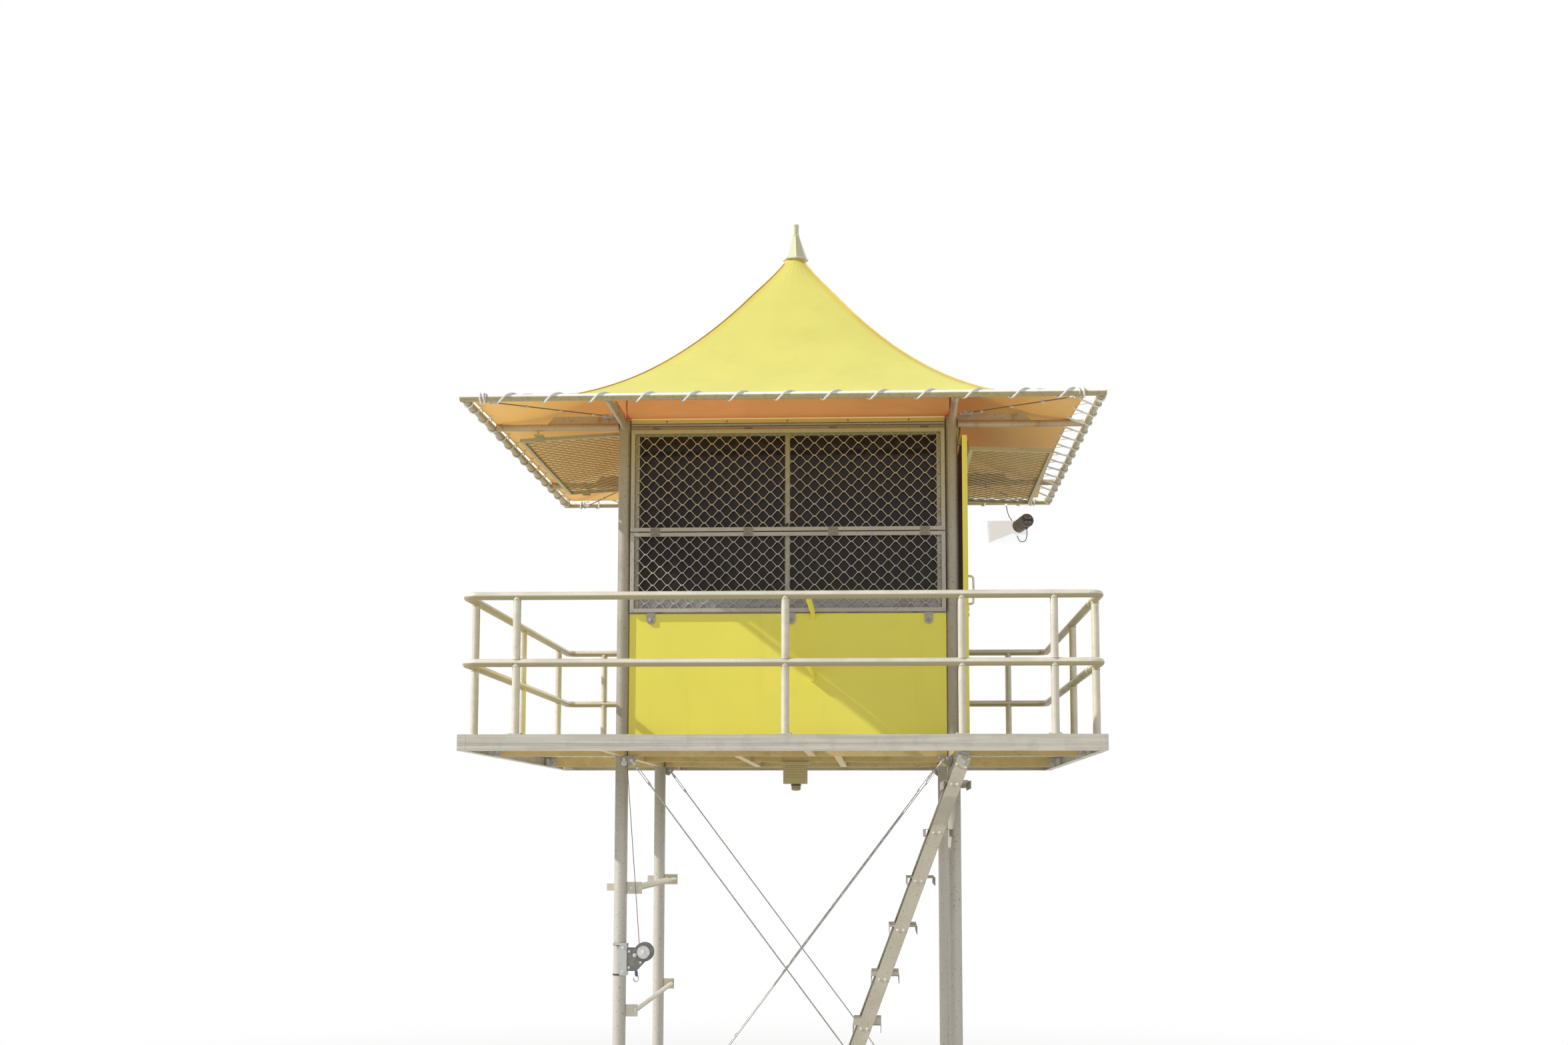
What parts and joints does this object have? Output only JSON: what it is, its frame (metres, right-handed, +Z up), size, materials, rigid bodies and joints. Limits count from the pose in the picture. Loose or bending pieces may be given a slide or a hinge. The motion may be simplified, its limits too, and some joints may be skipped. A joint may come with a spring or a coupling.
{
  "type": "lifeguard tower",
  "caption": "Square beach lookout cabin raised on tube posts, with a railed slatted deck, hinged ladder, mesh screens and a tensioned fabric tent roof.",
  "frame": {"origin": "on the ground at the centre between the posts", "axes": "+Z up, +X to the side with the sliding door, -Y towards the front with the ladder and the mesh screens"},
  "size_m": [4.283, 4.3138, 7.2896],
  "materials": {
    "alloy": "dull, weathered",
    "alloy_dark": "dull, weathered",
    "deck_alloy": "ribbed, satin",
    "ladder_alloy": "dull, scuffed",
    "steel": "galvanised, dull",
    "yellow_panel": "satin paint",
    "yellow_trim": "satin paint",
    "window_alloy": "satin anodised",
    "window_glass": "tinted, clear",
    "screen_alloy": "dull",
    "roof_tube": "satin paint",
    "roof_fabric": "coated, slightly translucent",
    "white_coat": "satin paint, faded",
    "box_plastic": "matt",
    "speaker_white": "satin paint"
  },
  "bodies": {
    "tower": {"front_left_post": "alloy", "front_right_post": "alloy", "rear_left_post": "alloy", "rear_right_post": "alloy", "end_edge_channels": "alloy", "side_edge_channels": "alloy", "front_guard_rail": "alloy", "rear_guard_rail": "alloy", "left_guard_rail": "alloy", "right_guard_rail": "alloy", "outriggers": "alloy", "peak_frame": "alloy", "brace_plates": "alloy", "deck_beams": "alloy_dark", "deck_slats": "deck_alloy", "cabin_floor": "deck_alloy", "front_stays": "steel", "rear_stays": "steel", "ladder_hinge": "steel", "winch": "steel", "hoist_pulley": "steel", "storage_rack": "steel", "front_wall": "yellow_panel", "left_wall": "yellow_panel", "rear_wall": "yellow_panel", "right_wall": "yellow_panel", "head_beams": "yellow_trim", "hatch_guard_rail": "yellow_trim", "front_window_frame": "window_alloy", "left_window_frame": "window_alloy", "rear_window_frame": "window_alloy", "right_window_frame": "window_alloy", "door_track": "window_alloy", "window_glass": "window_glass", "front_upper_screen": "screen_alloy", "front_lower_screen": "screen_alloy", "left_screen": "screen_alloy", "right_screen": "screen_alloy", "rear_screen": "screen_alloy", "end_roof_tubes": "roof_tube", "side_roof_tubes": "roof_tube", "canopy": "roof_fabric", "eaves_lining": "roof_fabric", "finial": "white_coat", "junction_box": "box_plastic", "loudspeaker": "speaker_white"},
    "door": {"door": "yellow_panel"},
    "ladder": {"ladder_stringers": "ladder_alloy", "ladder_treads": "ladder_alloy"}
  },
  "joints": [
    {"name": "door_slide", "type": "slide", "parent": "tower", "child": "door", "axis": [0, 1, 0], "range_m": [0, 0.82]},
    {"name": "ladder_hinge", "type": "hinge", "parent": "tower", "child": "ladder", "pos_m": [1.19, -1.59, 3.028], "axis": [0, 1, 0], "range_deg": [0, 64]}
  ]
}
